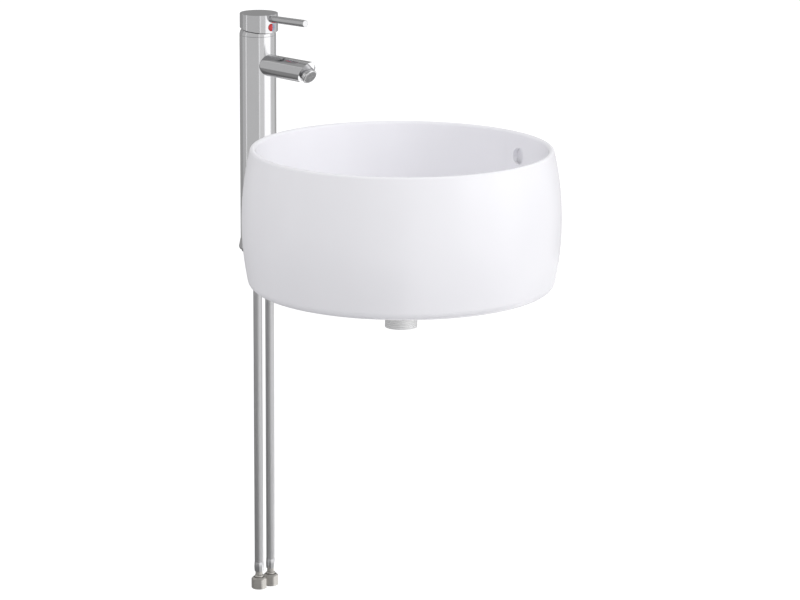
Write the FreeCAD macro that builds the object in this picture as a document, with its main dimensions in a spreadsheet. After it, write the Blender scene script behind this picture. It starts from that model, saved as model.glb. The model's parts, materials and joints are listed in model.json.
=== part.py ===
import FreeCAD, Part
import math
import os
import Sketcher

# Round countertop washbasin with its click waste and a tall single-lever mixer beside it
# Millimetres, +Z up. The origin is the middle of the basin's foot, on the counter.
# The user stands on the -Y side, and the mixer stands behind the basin on the +Y side.

os.makedirs("parts", exist_ok=True)
doc = FreeCAD.newDocument("washbasin")
sheet = doc.addObject("Spreadsheet::Sheet", "Sizes")

# Driving sizes, one group for each assembly

basin_sizes = {
    "basin_radius": 205.0,
    "basin_height": 180.0,
    "belly_height": 86.0,
    "belly_curve": 390.0,
    "foot_corner": 12.5,
    "foot_ring_width": 23.5,
    "underside_rise": 16.0,
    "underside_slope": 4.0,
    "rim_wall": 6.7,
    "rim_round": 3.2,
    "bowl_wall_curve": 420.0,
    "bowl_floor_inset": 33.0,
    "bowl_floor_fall": 9.5,
    "bowl_corner": 58.0,
    "shell_wall": 8.0,
    "floor_plate": 9.0,
    "drain_radius": 22.5,
    "drain_seat_rise": 15.0,
    "drain_seat_radius": 34.0,
    "drain_seat_depth": 4.5,
    "drain_boss_wall": 10.5,
    "drain_slot_width": 12.0,
    "drain_slot_height": 6.0,
    "drain_slot_rise": 1.0,
    "cavity_roof": 7.0,
    "cavity_drop": 22.0,
    "cavity_throat": 2.5,
    "overflow_radius": 11.0,
    "overflow_drop": 31.0,
    "overflow_turn": 8.0,
    "overflow_skin": 6.0,
    "overflow_channel_width": 18.0,
    "overflow_channel_depth": 4.5,
    "overflow_channel_lap": 6.0,
}

waste_sizes = {
    "tail_radius": 20.955,
    "tail_bore": 16.5,
    "tail_end": 54.0,
    "tail_pitch": 2.309,
    "tail_thread_depth": 1.479,
    "tail_thread_gap": 1.5,
    "waste_flange_radius": 31.5,
    "waste_flange_thickness": 2.5,
    "waste_throat_radius": 21.0,
    "waste_throat_depth": 5.0,
    "flange_seal_thickness": 1.5,
    "flange_seal_margin": 0.5,
    "washer_thickness": 4.0,
    "washer_radius": 31.0,
    "washer_chamfer": 1.5,
    "back_nut_flat": 50.0,
    "back_nut_height": 8.5,
    "back_nut_flange": 2.0,
    "back_nut_flange_radius": 30.0,
    "plug_radius": 31.0,
    "plug_rim": 2.2,
    "plug_dome": 4.6,
    "plug_gap": 0.8,
    "plug_seal_radius": 18.3,
    "plug_seal_thickness": 2.6,
    "plug_hub_radius": 12.0,
    "stem_radius": 3.9,
    "stem_collar_radius": 6.3,
    "stem_collar_thickness": 2.0,
    "spring_height": 7.0,
    "spring_radius": 4.6,
    "spring_wire": 0.6,
    "guide_radius": 8.4,
    "guide_chamber": 6.8,
    "guide_base": 1.2,
    "guide_drop": 6.0,
    "guide_length": 26.2,
    "guide_neck": 4.0,
    "guide_arm_width": 3.2,
    "guide_arm_height": 9.0,
}

tap_sizes = {
    "tap_distance": 279.0,
    "column_radius": 24.3,
    "column_wall": 3.8,
    "head_rise": 38.2,
    "gasket_height": 3.6,
    "gasket_outer": 22.8,
    "gasket_inner": 20.6,
    "base_ring_radius": 26.8,
    "base_ring_height": 13.0,
    "base_ring_widest": 2.6,
    "base_ring_under": 0.9,
    "base_block_bottom": 14.0,
    "base_block_height": 20.0,
    "port_spread": 10.6,
    "port_forward": 9.2,
    "port_radius": 5.05,
    "port_depth": 11.0,
    "waterway_radius": 3.0,
    "riser_radius": 4.0,
    "riser_wall": 1.0,
    "riser_socket": 5.0,
    "chamber_drop": 22.0,
    "chamber_floor_thickness": 4.5,
    "head_web_drop": 27.2,
    "head_web_thickness": 4.0,
    "head_socket_radius": 18.0,
    "head_thread_radius": 20.5,
    "head_thread_depth": 6.7,
    "stud_radius": 4.0,
    "stud_pitch": 1.25,
    "stud_thread_depth": 0.68,
    "stud_back": 16.5,
    "stud_end": 44.0,
    "stud_thread_gap": 2.0,
    "stud_grip": 13.0,
    "spout_height": 254.7,
    "spout_radius": 14.5,
    "spout_wall": 2.5,
    "spout_reach": 98.7,
    "spout_tilt": 31.0,
    "spout_root": 20.0,
    "spout_nose": 16.0,
    "spout_nose_lip": 1.0,
    "aerator_radius": 10.4,
    "aerator_out": 8.0,
    "aerator_drop": 2.2,
    "aerator_wall": 1.3,
    "aerator_thread_radius": 9.6,
    "aerator_thread_length": 6.5,
    "aerator_seal_thickness": 1.5,
    "aerator_seal_wall": 2.2,
    "aerator_chamfer": 0.8,
    "aerator_mesh_inset": 0.8,
    "aerator_waterway": 7.5,
}

handle_sizes = {
    "cartridge_radius": 17.6,
    "cartridge_wall": 1.6,
    "cartridge_base": 1.6,
    "cartridge_shoulder": 20.5,
    "cartridge_neck_radius": 13.1,
    "cartridge_neck_height": 6.5,
    "seal_radius": 4.4,
    "seal_section": 1.2,
    "inlet_radius": 2.6,
    "inlet_spread": 7.4,
    "inlet_forward": 6.6,
    "outlet_radius": 3.0,
    "outlet_back": 8.0,
    "fixed_disc_radius": 15.6,
    "disc_thickness": 3.0,
    "moving_disc_radius": 11.4,
    "moving_disc_thickness": 2.5,
    "mixing_pocket_radius": 8.2,
    "mixing_pocket_depth": 1.0,
    "carrier_radius": 11.0,
    "carrier_height": 5.2,
    "carrier_floor": 1.0,
    "spindle_flange_radius": 15.4,
    "spindle_radius": 11.2,
    "spindle_proud": 1.0,
    "spindle_slot_length": 18.0,
    "pivot_drop": 7.2,
    "pin_radius": 1.5,
    "lever_stem_width": 7.0,
    "lever_stem_depth": 6.0,
    "lever_stem_rise": 22.1,
    "lever_stem_neck": 3.2,
    "lever_stem_foot": 2.2,
    "lever_stem_arm": 5.2,
    "lever_stem_shoulder": 2.5,
    "ring_nut_rise": 4.3,
    "ring_nut_radius": 18.6,
    "collar_side": 5.7,
    "collar_side_inset": 1.2,
    "collar_height": 9.5,
    "collar_hole": 17.2,
    "collar_curve": 7.0,
    "collar_side_curve": 14.0,
    "collar_wall": 1.7,
    "collar_foot_wall": 2.6,
    "collar_bevel": 0.4,
    "cap_radius": 25.4,
    "cap_forward": 2.4,
    "cap_rise": 29.7,
    "cap_chamfer": 0.7,
    "cap_wall": 2.2,
    "cap_roof": 2.8,
    "cap_gap": 9.0,
    "cap_slant": 7.8,
    "cap_hub_radius": 9.0,
    "cap_hub_gap": 9.3,
    "lever_radius": 4.75,
    "lever_root_rise": 23.2,
    "lever_reach": 94.8,
    "lever_rise": 1.3,
    "lever_end_round": 0.8,
    "lever_thread_radius": 3.0,
    "lever_thread_length": 4.6,
    "index_radius": 5.1,
    "index_rise": 12.7,
    "index_proud": 2.2,
    "index_depth": 1.6,
    "index_shank_radius": 3.2,
    "index_shank_length": 3.0,
    "set_screw_radius": 2.5,
    "set_screw_key": 1.3,
    "set_screw_length": 5.4,
}

hose_sizes = {
    "hose_radius": 5.9,
    "hose_liner_radius": 5.2,
    "hose_bore": 4.0,
    "hose_top": 2.0,
    "hose_bottom": 447.9,
    "ferrule_wall": 0.1,
    "ferrule_length": 13.0,
    "ferrule_bulge": 55.0,
    "connector_thread_radius": 4.95,
    "connector_thread_length": 10.4,
    "connector_pitch": 1.0,
    "connector_thread_depth": 0.61,
    "connector_collar_radius": 6.4,
    "connector_collar_height": 6.0,
    "connector_neck_radius": 4.8,
    "connector_stop_radius": 6.2,
    "connector_stop_height": 1.2,
    "connector_bore": 2.9,
    "barb_length": 11.0,
    "lower_neck_radius": 4.85,
    "lower_neck_length": 5.2,
    "lower_bead_radius": 6.2,
    "lower_bead_height": 3.2,
    "lower_bead_round": 2.6,
    "lower_shank_radius": 5.0,
    "lower_flange_radius": 7.9,
    "lower_flange_height": 2.0,
    "hose_nut_flat": 19.0,
    "hose_nut_corner": 10.45,
    "hose_nut_gap": 8.5,
    "hose_nut_height": 16.0,
    "hose_nut_neck": 7.2,
    "hose_nut_neck_height": 6.0,
    "hose_nut_bore": 8.33,
    "hose_nut_relief": 8.7,
    "hose_nut_chamfer": 1.2,
    "hose_nut_turn": 10.0,
    "hose_washer_bore": 4.2,
    "hose_washer_thickness": 2.0,
}

fit_sizes = {
    "slip_fit": 0.05,
    "shaft_fit": 0.08,
    "running_fit": 0.3,
    "overrun": 2.0,
    "edge_match": 0.01,
}

groups = [basin_sizes, waste_sizes, tap_sizes, handle_sizes, hose_sizes, fit_sizes]


# A size carries its number and the expression that FreeCAD keeps for it

class Size:
    def __init__(self, number, text):
        self.number = number
        self.text = text

    def combine(self, other, sign, number):
        other_text = other.text if isinstance(other, Size) else repr(other)
        return Size(number, f"({self.text} {sign} {other_text})")

    def __add__(self, other):
        return self.combine(other, "+", self.number + plain(other))

    def __sub__(self, other):
        return self.combine(other, "-", self.number - plain(other))

    def __mul__(self, other):
        return self.combine(other, "*", self.number * plain(other))

    def __truediv__(self, other):
        return self.combine(other, "/", self.number / plain(other))

    def __neg__(self):
        return Size(-self.number, f"(-1 * {self.text})")


def plain(value):
    return value.number if isinstance(value, Size) else value


def sine(angle):
    return Size(math.sin(math.radians(angle.number)), f"sin({angle.text} * 1 deg)")


def cosine(angle):
    return Size(math.cos(math.radians(angle.number)), f"cos({angle.text} * 1 deg)")


def tangent(angle):
    return Size(math.tan(math.radians(angle.number)), f"tan({angle.text} * 1 deg)")


def root(value):
    return Size(math.sqrt(value.number), f"sqrt({value.text})")


class Sheet:
    pass


s = Sheet()
row = 0
for group in groups:
    for alias, value in group.items():
        row += 1
        sheet.set(f"A{row}", alias)
        sheet.set(f"B{row}", str(value))
        sheet.setAlias(f"B{row}", alias)
        setattr(s, alias, Size(value, f"Sizes.{alias}"))
doc.recompute()
zero = Size(0.0, "0")


# Small tools that make one bound object each

def bind(thing, path, value):
    thing.setExpression(path, value.text)


def put(thing, x=zero, y=zero, z=zero, axis=None, angle=0.0, turn=None):
    degrees = turn.number if turn else angle
    spin = FreeCAD.Rotation(FreeCAD.Vector(*axis), degrees) if axis else FreeCAD.Rotation()
    thing.Placement = FreeCAD.Placement(FreeCAD.Vector(x.number, y.number, z.number), spin)
    for letter, value in zip("xyz", (x, y, z)):
        if value is not zero:
            bind(thing, f".Placement.Base.{letter}", value)
    if turn:
        bind(thing, ".Placement.Rotation.Angle", turn)
    return thing


def cylinder(name, radius, height, **where):
    thing = doc.addObject("Part::Cylinder", name)
    bind(thing, "Radius", radius)
    bind(thing, "Height", height)
    return put(thing, **where)


def box(name, length, width, height, **where):
    thing = doc.addObject("Part::Box", name)
    bind(thing, "Length", length)
    bind(thing, "Width", width)
    bind(thing, "Height", height)
    return put(thing, **where)


def hexagon(name, flat, height, **where):
    thing = doc.addObject("Part::Prism", name)
    thing.Polygon = 6
    bind(thing, "Circumradius", flat / math.sqrt(3))
    bind(thing, "Height", height)
    return put(thing, **where)


def fuse(name, *things):
    thing = doc.addObject("Part::MultiFuse", name)
    thing.Shapes = list(things)
    return thing


def cut(name, base, *tools):
    thing = doc.addObject("Part::Cut", name)
    thing.Base = base
    thing.Tool = tools[0] if len(tools) == 1 else fuse(name + "_tools", *tools)
    return thing


def common(name, base, tool):
    thing = doc.addObject("Part::Common", name)
    thing.Base = base
    thing.Tool = tool
    return thing


def ring(name, outer, inner, height, **where):
    whole = cylinder(name + "_disc", outer, height, **where)
    hole = cylinder(name + "_hole", inner, height, **where)
    return cut(name, whole, hole)


# A turned piece is a body with one outline of (radius, height) corners, listed anticlockwise
# A corner may end with a radius, which makes the edge after it an arc, and "in" for a hollow one

def arc_between(start, end, radius, hollow):
    middle = (start + end) * 0.5
    along = end - start
    side = FreeCAD.Vector(-along.y, along.x, 0).normalize()
    offset = math.sqrt(radius ** 2 - (along.Length / 2) ** 2)
    centre = middle - side * offset if hollow else middle + side * offset
    first, last = (end, start) if hollow else (start, end)
    angles = [math.atan2(point.y - centre.y, point.x - centre.x) for point in (first, last)]
    return Part.ArcOfCircle(Part.Circle(centre, FreeCAD.Vector(0, 0, 1), radius), *angles)


def draw_outline(sketch, corners):
    points = [FreeCAD.Vector(corner[0].number, corner[1].number, 0) for corner in corners]
    edges = []
    for index, corner in enumerate(corners):
        start, end = points[index], points[(index + 1) % len(points)]
        hollow = len(corner) == 4
        if len(corner) > 2:
            edges.append((arc_between(start, end, corner[2].number, hollow), hollow))
        else:
            edges.append((Part.LineSegment(start, end), False))
    sketch.addGeometry([edge for edge, hollow in edges], False)
    ends = [(2, 1) if hollow else (1, 2) for edge, hollow in edges]
    rules = []
    texts = []
    for index, corner in enumerate(corners):
        after = (index + 1) % len(corners)
        rules.append(Sketcher.Constraint("Coincident", index, ends[index][1], after, ends[after][0]))
        texts.append(None)
        for value, kind, axis in ((corner[0], "DistanceX", -2), (corner[1], "DistanceY", -1)):
            if value is zero:
                rules.append(Sketcher.Constraint("PointOnObject", index, ends[index][0], axis))
                texts.append(None)
            else:
                rules.append(Sketcher.Constraint(kind, -1, 1, index, ends[index][0], value.number))
                texts.append(value.text)
        if len(corner) > 2:
            rules.append(Sketcher.Constraint("Radius", index, corner[2].number))
            texts.append(corner[2].text)
    sketch.addConstraint(rules)
    for index, text in enumerate(texts):
        if text:
            sketch.setExpression(f"Constraints[{index}]", text)


def turn_outline(body, kind, name, corners):
    sketch = body.newObject("Sketcher::SketchObject", name + "_outline")
    plane = next(item for item in body.Origin.OriginFeatures if item.Role == "XZ_Plane")
    sketch.AttachmentSupport = [(plane, "")]
    sketch.MapMode = "FlatFace"
    draw_outline(sketch, corners)
    turn = body.newObject("PartDesign::" + kind, name + "_turn")
    turn.Profile = sketch
    turn.ReferenceAxis = (sketch, ["V_Axis"])
    turn.Angle = 360
    return turn


def turned(name, corners, **where):
    body = doc.addObject("PartDesign::Body", name)
    turn_outline(body, "Revolution", name, corners)
    put(body, **where)
    doc.recompute()
    return body


def rounded(body, radius, *circles):
    base = body.Tip
    names = []
    for index, edge in enumerate(base.Shape.Edges, 1):
        if not isinstance(edge.Curve, Part.Circle) or abs(edge.Curve.Axis.z) < 0.5:
            continue
        for reach, height in circles:
            same_size = abs(edge.Curve.Radius - reach.number) < s.edge_match.number
            if same_size and abs(edge.Curve.Center.z - height.number) < s.edge_match.number:
                names.append(f"Edge{index}")
    round_edge = body.newObject("PartDesign::Fillet", body.Name + "_round")
    round_edge.Base = (base, names)
    bind(round_edge, "Radius", radius)
    doc.recompute()
    return body


# A thread is a row of V grooves round a turned body, flat at the crests

groove_share = 0.75


def threaded(body, radius, depth, pitch, bottom, top):
    half = pitch * groove_share
    middle = bottom + pitch / 2
    name = body.Name + "_thread"
    groove = turn_outline(body, "Groove", name, [
        (radius - depth, middle),
        (radius + depth, middle - half),
        (radius + depth, middle + half),
    ])
    doc.recompute()
    turns = int((top.number - bottom.number) / pitch.number)
    row = body.newObject("PartDesign::LinearPattern", name + "_row")
    row.Originals = [groove]
    row.Direction = (groove.Profile[0], ["V_Axis"])
    row.Occurrences = turns
    bind(row, "Length", pitch * (turns - 1))
    bind(row, "Occurrences", Size(turns, f"floor({((top - bottom) / pitch).text})"))
    body.Tip = row
    doc.recompute()
    return body


nodes = []


def piece(thing, label):
    thing.Label = label
    nodes.append(thing)
    return thing


# Ceramic basin: a barrel shell, a bowl inside it and the overflow space between them

def belly(height, inset=zero):
    curve = s.belly_curve - inset
    rise = height - s.belly_height
    return s.basin_radius - s.belly_curve + root(curve * curve - rise * rise)


foot_inner = belly(zero) - s.foot_corner - s.foot_ring_width
underside_edge = foot_inner - s.underside_slope
cavity_floor = s.underside_rise + s.floor_plate
drain_seat = cavity_floor + s.drain_seat_rise
drain_floor = drain_seat + s.drain_seat_depth
boss_radius = s.drain_radius + s.drain_boss_wall
rim_inner = belly(s.basin_height) - s.rim_wall
bowl_radius = s.basin_radius - s.bowl_floor_inset
bowl_floor = drain_floor + s.bowl_floor_fall
overflow_height = s.basin_height - s.overflow_drop
cavity_top = overflow_height - s.cavity_drop

basin_solid = turned("basin_solid", [
    (s.drain_radius, s.underside_rise),
    (underside_edge, s.underside_rise),
    (foot_inner, zero),
    (belly(zero), zero, s.belly_curve),
    (belly(s.basin_height), s.basin_height),
    (rim_inner, s.basin_height, s.bowl_wall_curve, "in"),
    (bowl_radius, bowl_floor),
    (s.drain_seat_radius, drain_floor),
    (s.drain_seat_radius, drain_seat),
    (s.drain_radius, drain_seat),
])
rounded(basin_solid, s.foot_corner, (belly(zero), zero))
rounded(basin_solid, s.bowl_corner, (bowl_radius, bowl_floor))
rounded(basin_solid, s.rim_round, (belly(s.basin_height), s.basin_height), (rim_inner, s.basin_height))

cavity = turned("basin_cavity", [
    (boss_radius, cavity_floor),
    (underside_edge, cavity_floor),
    (foot_inner + s.floor_plate, s.floor_plate),
    (belly(s.floor_plate, s.shell_wall), s.floor_plate, s.belly_curve - s.shell_wall),
    (belly(cavity_top, s.shell_wall), cavity_top),
    (belly(cavity_top, s.shell_wall) - s.cavity_throat, cavity_top,
     s.bowl_wall_curve + s.shell_wall, "in"),
    (bowl_radius + s.shell_wall, bowl_floor - s.shell_wall),
    (boss_radius, drain_seat - s.cavity_roof),
])
rounded(cavity, s.bowl_corner + s.shell_wall, (bowl_radius + s.shell_wall, bowl_floor - s.shell_wall))

overflow_end = belly(overflow_height) - s.overflow_skin
overflow_mouth = cylinder("overflow_mouth", s.overflow_radius, overflow_end - bowl_radius,
                          x=bowl_radius, z=overflow_height, axis=(0, 1, 0), angle=90)
channel_foot = cavity_top - s.overflow_channel_lap
channel_outer = belly(channel_foot, s.shell_wall) - s.cavity_throat / 2
overflow_channel = box("overflow_channel", s.overflow_channel_depth, s.overflow_channel_width,
                       overflow_height - channel_foot, x=channel_outer - s.overflow_channel_depth,
                       y=-(s.overflow_channel_width / 2), z=channel_foot)
overflow = put(fuse("overflow", overflow_mouth, overflow_channel),
               axis=(0, 0, -1), turn=s.overflow_turn)

slot_bottom = cavity_floor + s.drain_slot_rise
drain_slots = box("drain_slots", (boss_radius + s.overrun) * 2, s.drain_slot_width,
                  s.drain_slot_height, x=-(boss_radius + s.overrun),
                  y=-(s.drain_slot_width / 2), z=slot_bottom)

piece(cut("basin_piece", basin_solid, cavity, overflow, drain_slots), "basin")


# Click waste in the drain hole

flange_under = drain_seat + s.flange_seal_thickness
flange_top = flange_under + s.waste_flange_thickness
washer_bottom = s.underside_rise - s.washer_thickness
nut_bottom = washer_bottom - s.back_nut_flange - s.back_nut_height

# The tail has its full thread below the back nut, and its mean thread radius where the nut sits
tail_bottom = -s.tail_end
tail_thread_top = nut_bottom - s.tail_thread_gap
tail_mean = s.tail_radius - s.tail_thread_depth / 2

waste_solid = turned("waste_solid", [
    (s.tail_bore, tail_bottom),
    (s.tail_radius, tail_bottom),
    (s.tail_radius, tail_thread_top),
    (tail_mean, tail_thread_top),
    (tail_mean, flange_under),
    (s.waste_flange_radius, flange_under),
    (s.waste_flange_radius, flange_top),
    (s.waste_throat_radius, flange_top),
    (s.tail_bore, flange_top - s.waste_throat_depth),
])
threaded(waste_solid, s.tail_radius, s.tail_thread_depth, s.tail_pitch, tail_bottom, tail_thread_top)
waste_slots = box("waste_slots", (s.tail_radius + s.overrun) * 2, s.drain_slot_width,
                  s.drain_slot_height, x=-(s.tail_radius + s.overrun),
                  y=-(s.drain_slot_width / 2), z=slot_bottom)
piece(cut("waste_piece", waste_solid, waste_slots), "waste_body")

piece(ring("flange_seal", s.waste_flange_radius - s.flange_seal_margin, s.tail_radius + s.running_fit,
           s.flange_seal_thickness, z=drain_seat), "waste_flange_seal")

piece(turned("lower_washer", [
    (s.tail_radius + s.slip_fit, washer_bottom),
    (s.washer_radius - s.washer_chamfer, washer_bottom),
    (s.washer_radius, washer_bottom + s.washer_chamfer),
    (s.washer_radius, s.underside_rise),
    (s.tail_radius + s.slip_fit, s.underside_rise),
]), "waste_rubber_washer")

nut_hexagon = hexagon("back_nut_hexagon", s.back_nut_flat, s.back_nut_height, z=nut_bottom)
nut_flange = cylinder("back_nut_disc", s.back_nut_flange_radius, s.back_nut_flange,
                      z=washer_bottom - s.back_nut_flange)
nut_bore = cylinder("back_nut_bore", tail_mean + s.slip_fit, s.back_nut_flange + s.back_nut_height,
                    z=nut_bottom)
piece(cut("back_nut", fuse("back_nut_solid", nut_hexagon, nut_flange), nut_bore), "waste_back_nut")

plug_under = flange_top + s.plug_gap
plug_top = plug_under + s.plug_rim + s.plug_dome
hub_bottom = plug_under - s.plug_seal_thickness - s.plug_gap
dome_curve = (s.plug_radius * s.plug_radius + s.plug_dome * s.plug_dome) / (s.plug_dome * 2)
stem_top = plug_under + s.plug_rim
piece(turned("plug_cap", [
    (s.stem_radius + s.slip_fit, hub_bottom),
    (s.plug_hub_radius, hub_bottom),
    (s.plug_hub_radius, plug_under),
    (s.plug_radius, plug_under),
    (s.plug_radius, plug_under + s.plug_rim, dome_curve),
    (zero, plug_top),
    (zero, stem_top),
    (s.stem_radius + s.slip_fit, stem_top),
]), "plug_cap")

piece(ring("plug_ring", s.plug_seal_radius, s.plug_hub_radius + s.slip_fit, s.plug_seal_thickness,
           z=plug_under - s.plug_seal_thickness), "plug_seal")

guide_top = flange_top - s.guide_drop
guide_bottom = guide_top - s.guide_length
chamber_floor = guide_bottom + s.guide_base
chamber_roof = guide_top - s.guide_neck
stem_bottom = chamber_floor + s.spring_height
piece(turned("plug_stem_turned", [
    (zero, stem_bottom),
    (s.stem_collar_radius, stem_bottom),
    (s.stem_collar_radius, stem_bottom + s.stem_collar_thickness),
    (s.stem_radius, stem_bottom + s.stem_collar_thickness),
    (s.stem_radius, stem_top),
    (zero, stem_top),
]), "plug_stem")

guide_hub = turned("guide_hub", [
    (zero, guide_bottom),
    (s.guide_radius, guide_bottom),
    (s.guide_radius, guide_top),
    (s.stem_radius + s.shaft_fit, guide_top),
    (s.stem_radius + s.shaft_fit, chamber_roof),
    (s.guide_chamber, chamber_roof),
    (s.guide_chamber, chamber_floor),
    (zero, chamber_floor),
])
arm_start = (s.guide_radius + s.guide_chamber) / 2
arm_reach = s.tail_bore - s.slip_fit
arm_half = s.guide_arm_width / 2
arm_end = root(arm_reach * arm_reach - arm_half * arm_half)
guide_arms = []
for index, angle in enumerate((90, 210, 330)):
    arm = box(f"guide_arm_{index}", arm_end - arm_start, s.guide_arm_width, s.guide_arm_height,
              x=arm_start, y=-arm_half, z=guide_top - s.guide_arm_height)
    turned_arm = doc.addObject("Part::Compound", f"guide_arm_turned_{index}")
    turned_arm.Links = [arm]
    guide_arms.append(put(turned_arm, axis=(0, 0, 1), angle=angle))
piece(fuse("guide", guide_hub, *guide_arms), "plug_guide")

# The click spring is a wire swept along a helix, made with Part's own functions

spring_turns = 3.5
spring_reach = float(sheet.get("spring_radius"))
wire_radius = float(sheet.get("spring_wire"))
spring_rise = float(sheet.get("spring_height")) - 2 * wire_radius
helix = Part.makeHelix(spring_rise / spring_turns, spring_rise, spring_reach)
wire_end = Part.Circle(FreeCAD.Vector(spring_reach, 0, 0), FreeCAD.Vector(0, 1, 0), wire_radius)
spring_shape = Part.Wire(helix.Edges).makePipeShell([Part.Wire(wire_end.toShape())], True, True)
spring = doc.addObject("Part::Feature", "spring")
spring.Shape = spring_shape
put(spring, z=chamber_floor + s.spring_wire)
piece(spring, "plug_spring")


# Mixer column with its base, waterways and fixing stud

tap = s.tap_distance
column_bore = s.column_radius - s.column_wall
block_top = s.base_block_bottom + s.base_block_height
column_top = s.spout_height + s.head_rise
head_web = column_top - s.head_web_drop
head_seat = head_web + s.head_web_thickness
head_step = column_top - s.head_thread_depth
chamber_floor_bottom = s.spout_height - s.chamber_drop
chamber_bottom = chamber_floor_bottom + s.chamber_floor_thickness
stud_mean = s.stud_radius - s.stud_thread_depth / 2
riser_bottom = block_top - s.riser_socket
riser_top = head_web + s.head_web_thickness / 2

column_solid = turned("column_solid", [
    (zero, s.base_block_bottom),
    (column_bore, s.base_block_bottom),
    (column_bore, s.gasket_height),
    (s.column_radius, s.gasket_height),
    (s.column_radius, column_top - s.collar_bevel),
    (s.column_radius - s.collar_bevel, column_top),
    (s.head_thread_radius, column_top),
    (s.head_thread_radius, head_step),
    (s.head_socket_radius, head_step),
    (s.head_socket_radius, head_seat),
    (zero, head_seat),
], y=tap)
column_cuts = [
    cylinder("shaft_hollow", column_bore, chamber_floor_bottom - block_top, y=tap, z=block_top),
    cylinder("mixing_chamber", column_bore, head_web - chamber_bottom, y=tap, z=chamber_bottom),
    cylinder("spout_hole", s.spout_radius + s.slip_fit, s.column_wall + s.overrun * 2,
             y=tap - column_bore + s.overrun, z=s.spout_height, axis=(1, 0, 0), angle=90),
    cylinder("stud_hole", stud_mean + s.slip_fit, s.stud_grip, y=tap + s.stud_back,
             z=s.base_block_bottom),
    cylinder("outlet_hole", s.outlet_radius, s.head_web_thickness, y=tap + s.outlet_back,
             z=head_web),
]
for side, sign in (("hot", -1), ("cold", 1)):
    port_x = s.port_spread * sign
    port_y = tap - s.port_forward
    pipe_x = s.inlet_spread * sign
    pipe_y = tap - s.inlet_forward
    pipe_hole = s.riser_radius + s.slip_fit
    column_cuts += [
        cylinder(side + "_port", s.port_radius, s.port_depth, x=port_x, y=port_y, z=s.base_block_bottom),
        cylinder(side + "_waterway", s.waterway_radius, s.riser_socket * 2, x=pipe_x, y=pipe_y,
                 z=riser_bottom - s.riser_socket),
        cylinder(side + "_pipe_socket", pipe_hole, s.riser_socket, x=pipe_x, y=pipe_y, z=riser_bottom),
        cylinder(side + "_floor_hole", pipe_hole, s.chamber_floor_thickness, x=pipe_x, y=pipe_y,
                 z=chamber_floor_bottom),
        cylinder(side + "_head_socket", pipe_hole, s.head_web_thickness / 2, x=pipe_x, y=pipe_y,
                 z=head_web),
        cylinder(side + "_inlet", s.inlet_radius, s.head_web_thickness, x=pipe_x, y=pipe_y,
                 z=head_web),
    ]
    piece(ring(side + "_pipe", s.riser_radius, s.riser_radius - s.riser_wall, riser_top - riser_bottom,
               x=pipe_x, y=pipe_y, z=riser_bottom), side + "_riser_pipe")
piece(cut("column", column_solid, *column_cuts), "mixer_column")

base_inner = s.column_radius + s.slip_fit
base_top = s.gasket_height + s.base_ring_height
piece(turned("base", [
    (base_inner, s.gasket_height),
    (s.base_ring_radius - s.base_ring_under, s.gasket_height),
    (s.base_ring_radius, s.gasket_height + s.base_ring_widest),
    (base_inner + s.running_fit, base_top),
    (base_inner, base_top),
], y=tap), "mixer_base_ring")

piece(ring("gasket", s.gasket_outer, s.gasket_inner, s.gasket_height, y=tap), "mixer_base_gasket")

stud_top = s.base_block_bottom + s.stud_grip
stud_bottom = -s.stud_end
stud_thread_top = -s.stud_thread_gap
stud = turned("stud", [
    (zero, stud_bottom),
    (s.stud_radius, stud_bottom),
    (s.stud_radius, stud_thread_top),
    (stud_mean, stud_thread_top),
    (stud_mean, stud_top),
    (zero, stud_top),
], y=tap + s.stud_back)
threaded(stud, s.stud_radius, s.stud_thread_depth, s.stud_pitch, stud_bottom, stud_thread_top)
piece(stud, "fixing_stud")


# Spout: a level tube with a mitred end, a nose behind the mitre and the aerator in the nose

spout_turn = s.spout_tilt + 90
mitre_y = tap - s.spout_reach
tool_size = s.spout_radius * 3


def mitre_tool(name, back):
    return cylinder(name, tool_size, tool_size, y=mitre_y + cosine(s.spout_tilt) * back,
                    z=s.spout_height + sine(s.spout_tilt) * back, axis=(1, 0, 0), turn=spout_turn)


def spout_rod(name, radius, start, end):
    return cylinder(name, radius, end - start, y=tap - start, z=s.spout_height,
                    axis=(1, 0, 0), angle=90)


spout_bore = s.spout_radius - s.spout_wall
spout_far = s.spout_reach + s.spout_radius
nose_start = s.spout_reach - s.spout_nose
spout_shell = cut("spout_shell", spout_rod("spout_outside", s.spout_radius, s.spout_root, spout_far),
                  spout_rod("spout_inside", spout_bore, s.spout_root, spout_far),
                  mitre_tool("spout_mitre", zero))
spout_nose = cut("spout_nose_plug", spout_rod("nose_rod", spout_bore, nose_start, spout_far),
                 mitre_tool("nose_mitre", s.spout_nose_lip))
drop_y = mitre_y + sine(s.spout_tilt) * s.aerator_drop
drop_z = s.spout_height - cosine(s.spout_tilt) * s.aerator_drop


def nose_bore(name, radius, depth):
    return cylinder(name, radius, depth, y=drop_y + cosine(s.spout_tilt) * depth,
                    z=drop_z + sine(s.spout_tilt) * depth, axis=(1, 0, 0), turn=spout_turn)


thread_depth = s.spout_nose_lip + s.aerator_thread_length + s.aerator_seal_thickness
piece(cut("spout", fuse("spout_solid", spout_shell, spout_nose),
          nose_bore("nose_thread", s.aerator_thread_radius + s.slip_fit, thread_depth),
          nose_bore("nose_waterway", s.aerator_waterway, s.spout_nose)), "spout_tube")

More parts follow.
